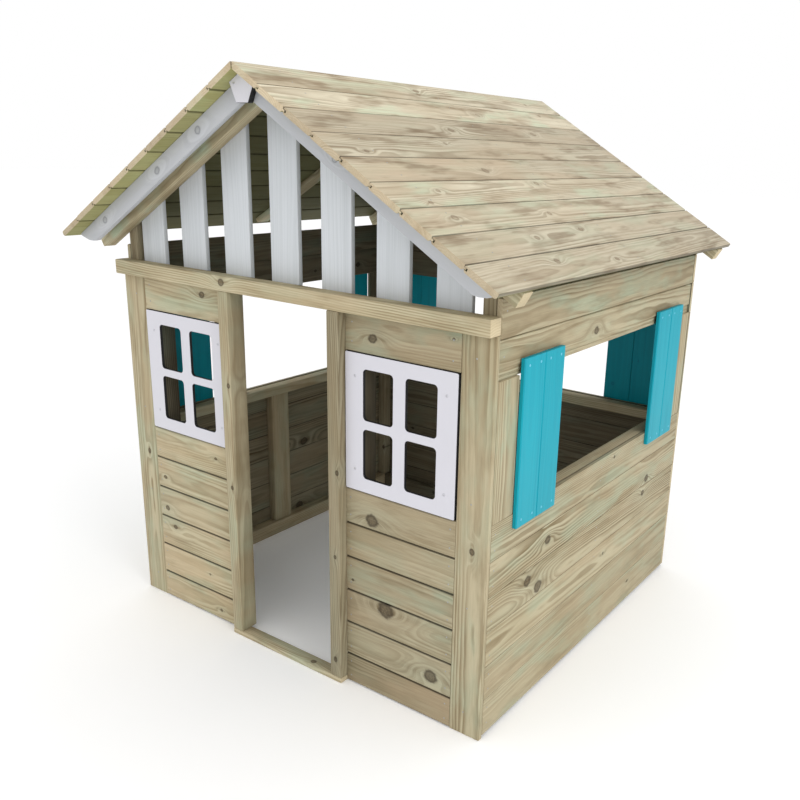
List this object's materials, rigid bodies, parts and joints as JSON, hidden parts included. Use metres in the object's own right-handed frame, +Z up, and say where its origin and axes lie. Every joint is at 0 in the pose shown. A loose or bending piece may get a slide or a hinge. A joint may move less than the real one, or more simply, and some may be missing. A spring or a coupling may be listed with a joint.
{
  "type": "timber playhouse",
  "caption": "Small boarded garden playhouse with an open doorway, paned window boards, fixed shutters, slatted gable and boarded pitched roof.",
  "frame": {"origin": "on the ground, under the middle of the roof's outline", "axes": "+Z up, -Y out through the doorway, +X to the right for someone who faces the front"},
  "size_m": [1.3526, 1.304, 1.4622],
  "materials": {
    "treated_pine": "rough planed, pressure treated, greenish",
    "roof_pine": "rough planed, pressure treated, warmer and paler",
    "white_board": "smooth white faces, black core at the edges",
    "turquoise_paint": "satin paint over grain",
    "pale_grey_paint": "thin matt paint over grain",
    "lavender_grey_paint": "thin matt paint over grain and knots"
  },
  "bodies": {
    "root": {"apex_plate": "white_board", "back_end_board_left": "treated_pine", "back_end_board_right": "treated_pine", "back_lower_boards": "treated_pine", "back_shutter_left": "turquoise_paint", "back_shutter_right": "turquoise_paint", "back_sill_rail": "treated_pine", "back_upper_boards": "treated_pine", "barge_board_left": "lavender_grey_paint", "barge_board_right": "lavender_grey_paint", "corner_post_front_left": "treated_pine", "corner_post_front_right": "treated_pine", "corner_post_rear_left": "treated_pine", "corner_post_rear_right": "treated_pine", "door_jamb_left": "treated_pine", "door_jamb_right": "treated_pine", "front_lower_boards_left": "treated_pine", "front_lower_boards_right": "treated_pine", "front_stile_left": "treated_pine", "front_stile_right": "treated_pine", "front_top_board_left": "treated_pine", "front_top_board_right": "treated_pine", "gable_slat_1": "pale_grey_paint", "gable_slat_2": "pale_grey_paint", "gable_slat_3": "pale_grey_paint", "gable_slat_4": "pale_grey_paint", "gable_slat_5": "pale_grey_paint", "gable_slat_6": "pale_grey_paint", "gable_slat_7": "pale_grey_paint", "left_end_board_front": "treated_pine", "left_end_board_rear": "treated_pine", "left_lower_boards": "treated_pine", "left_shutter_front": "turquoise_paint", "left_shutter_rear": "turquoise_paint", "left_sill_rail": "treated_pine", "left_upper_boards": "treated_pine", "lintel": "treated_pine", "rafter_front_left": "treated_pine", "rafter_front_right": "treated_pine", "rafter_middle_left": "treated_pine", "rafter_middle_right": "treated_pine", "rafter_rear_left": "treated_pine", "rafter_rear_right": "treated_pine", "right_end_board_front": "treated_pine", "right_end_board_rear": "treated_pine", "right_lower_boards": "treated_pine", "right_shutter_front": "turquoise_paint", "right_shutter_rear": "turquoise_paint", "right_sill_rail": "treated_pine", "right_upper_boards": "treated_pine", "roof_boards_left": "roof_pine", "roof_boards_right": "roof_pine", "threshold": "treated_pine", "window_board_left": "white_board", "window_board_right": "white_board", "window_stud_left_inner": "treated_pine", "window_stud_left_outer": "treated_pine", "window_stud_right_inner": "treated_pine", "window_stud_right_outer": "treated_pine"}
  },
  "joints": []
}
